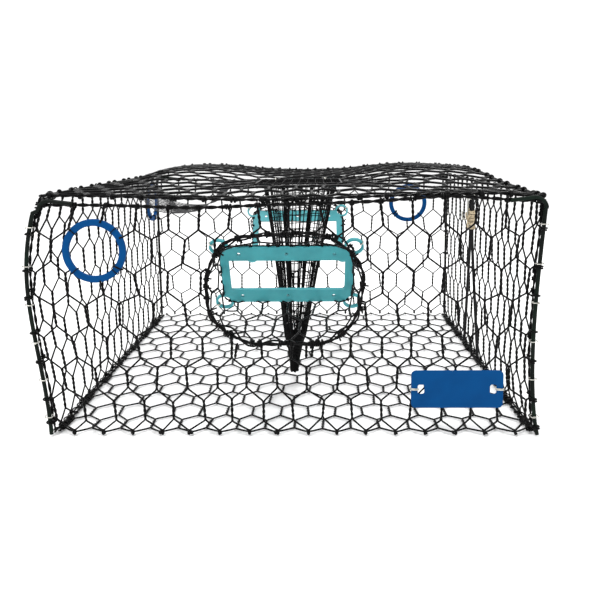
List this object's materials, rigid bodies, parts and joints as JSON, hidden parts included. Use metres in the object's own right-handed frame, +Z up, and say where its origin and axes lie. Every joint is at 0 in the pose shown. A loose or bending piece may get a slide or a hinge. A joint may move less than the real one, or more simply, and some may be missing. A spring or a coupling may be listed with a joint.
{
  "type": "folding crab trap",
  "caption": "Box crab trap of hexagonal coated wire netting with hinged fold-out walls, opening lid, funnel entrances with plastic gates, bait well, escape rings and tag.",
  "frame": {"origin": "middle of the footprint, on the surface that the trap stands on", "axes": "+Z up, -Y towards the front wall with the tag, +X towards the wall with the tie-down"},
  "size_m": [0.61, 0.61, 0.305],
  "materials": {
    "black_wire": "glossy black coating on wire",
    "dark_rod": "semi-gloss dark green-black coating",
    "funnel_net": "coated wire netting, stood in for by a thin shell",
    "well_net": "small square netting, stood in for by a thin shell",
    "fine_net": "fine knotted net",
    "steel_clip": "galvanised, slightly dull",
    "teal_plastic": "satin moulded plastic",
    "blue_plastic": "satin moulded plastic",
    "black_elastic": "braided elastic cord",
    "jute": "twisted natural fibre"
  },
  "bodies": {
    "floor": {"floor_mesh": "black_wire", "floor_edge_wires": "black_wire", "front_hinge_clips": "steel_clip", "back_hinge_clips": "steel_clip", "left_hinge_clips": "steel_clip", "right_hinge_clips": "steel_clip"},
    "front_wall": {"front_mesh": "black_wire", "front_bottom_wire": "black_wire", "front_top_wire": "black_wire", "front_corner_rod_left": "dark_rod", "front_corner_rod_right": "dark_rod", "front_rod_clips": "steel_clip", "front_mouth_ring": "black_wire", "front_funnel": "funnel_net", "front_gate": "teal_plastic", "front_gate_clips": "steel_clip", "front_escape_ring": "blue_plastic", "front_ring_clips": "steel_clip", "id_tag": "blue_plastic", "id_tag_clips": "steel_clip"},
    "back_wall": {"back_mesh": "black_wire", "back_bottom_wire": "black_wire", "back_top_wire": "black_wire", "back_corner_rod_left": "dark_rod", "back_corner_rod_right": "dark_rod", "back_rod_clips": "steel_clip", "back_mouth_ring": "black_wire", "back_funnel": "funnel_net", "back_gate": "teal_plastic", "back_gate_clips": "steel_clip", "back_escape_ring": "blue_plastic", "back_ring_clips": "steel_clip"},
    "left_wall": {"left_mesh": "black_wire", "left_bottom_wire": "black_wire", "left_side_wires": "black_wire", "left_top_wire": "black_wire", "left_escape_ring": "blue_plastic", "left_ring_clips": "steel_clip", "lid_hinge_clips": "steel_clip"},
    "right_wall": {"right_mesh": "black_wire", "right_bottom_wire": "black_wire", "right_side_wires": "black_wire", "right_top_wire": "black_wire", "tie_down_cord": "black_elastic", "jute_loop": "jute"},
    "hook": {"tie_down_hook": "black_wire"},
    "lid": {"lid_mesh": "black_wire", "lid_hinge_wire": "black_wire", "lid_edge_wires": "black_wire", "bait_well": "well_net", "bait_well_rim": "black_wire", "bait_well_tie": "well_net", "lid_net_patch": "fine_net", "bait_door_bar": "black_wire", "bait_door_clips": "steel_clip"},
    "bait_door": {"bait_door_mesh": "black_wire", "bait_door_edge_wire": "black_wire"}
  },
  "joints": [
    {"name": "front_wall_fold", "type": "hinge", "parent": "floor", "child": "front_wall", "pos_m": [0, -0.2982, 0.0033], "axis": [1, 0, 0], "range_deg": [0, 90]},
    {"name": "back_wall_fold", "type": "hinge", "parent": "floor", "child": "back_wall", "pos_m": [0, 0.2982, 0.0033], "axis": [-1, 0, 0], "range_deg": [0, 90]},
    {"name": "left_wall_fold", "type": "hinge", "parent": "floor", "child": "left_wall", "pos_m": [-0.2982, 0, 0.0033], "axis": [0, -1, 0], "range_deg": [0, 90]},
    {"name": "right_wall_fold", "type": "hinge", "parent": "floor", "child": "right_wall", "pos_m": [0.2982, 0, 0.0033], "axis": [0, 1, 0], "range_deg": [0, 90]},
    {"name": "lid_open", "type": "hinge", "parent": "left_wall", "child": "lid", "pos_m": [-0.2982, 0, 0.2992], "axis": [0, -1, 0], "range_deg": [0, 90]},
    {"name": "bait_door_open", "type": "hinge", "parent": "lid", "child": "bait_door", "pos_m": [0.006, -0.011, 0.3017], "axis": [-1, 0, 0], "range_deg": [0, 110]},
    {"name": "hook_swing", "type": "hinge", "parent": "right_wall", "child": "hook", "pos_m": [0.2909, 0.037, 0.2685], "axis": [0, 1, 0], "range_deg": [0, 90]}
  ]
}
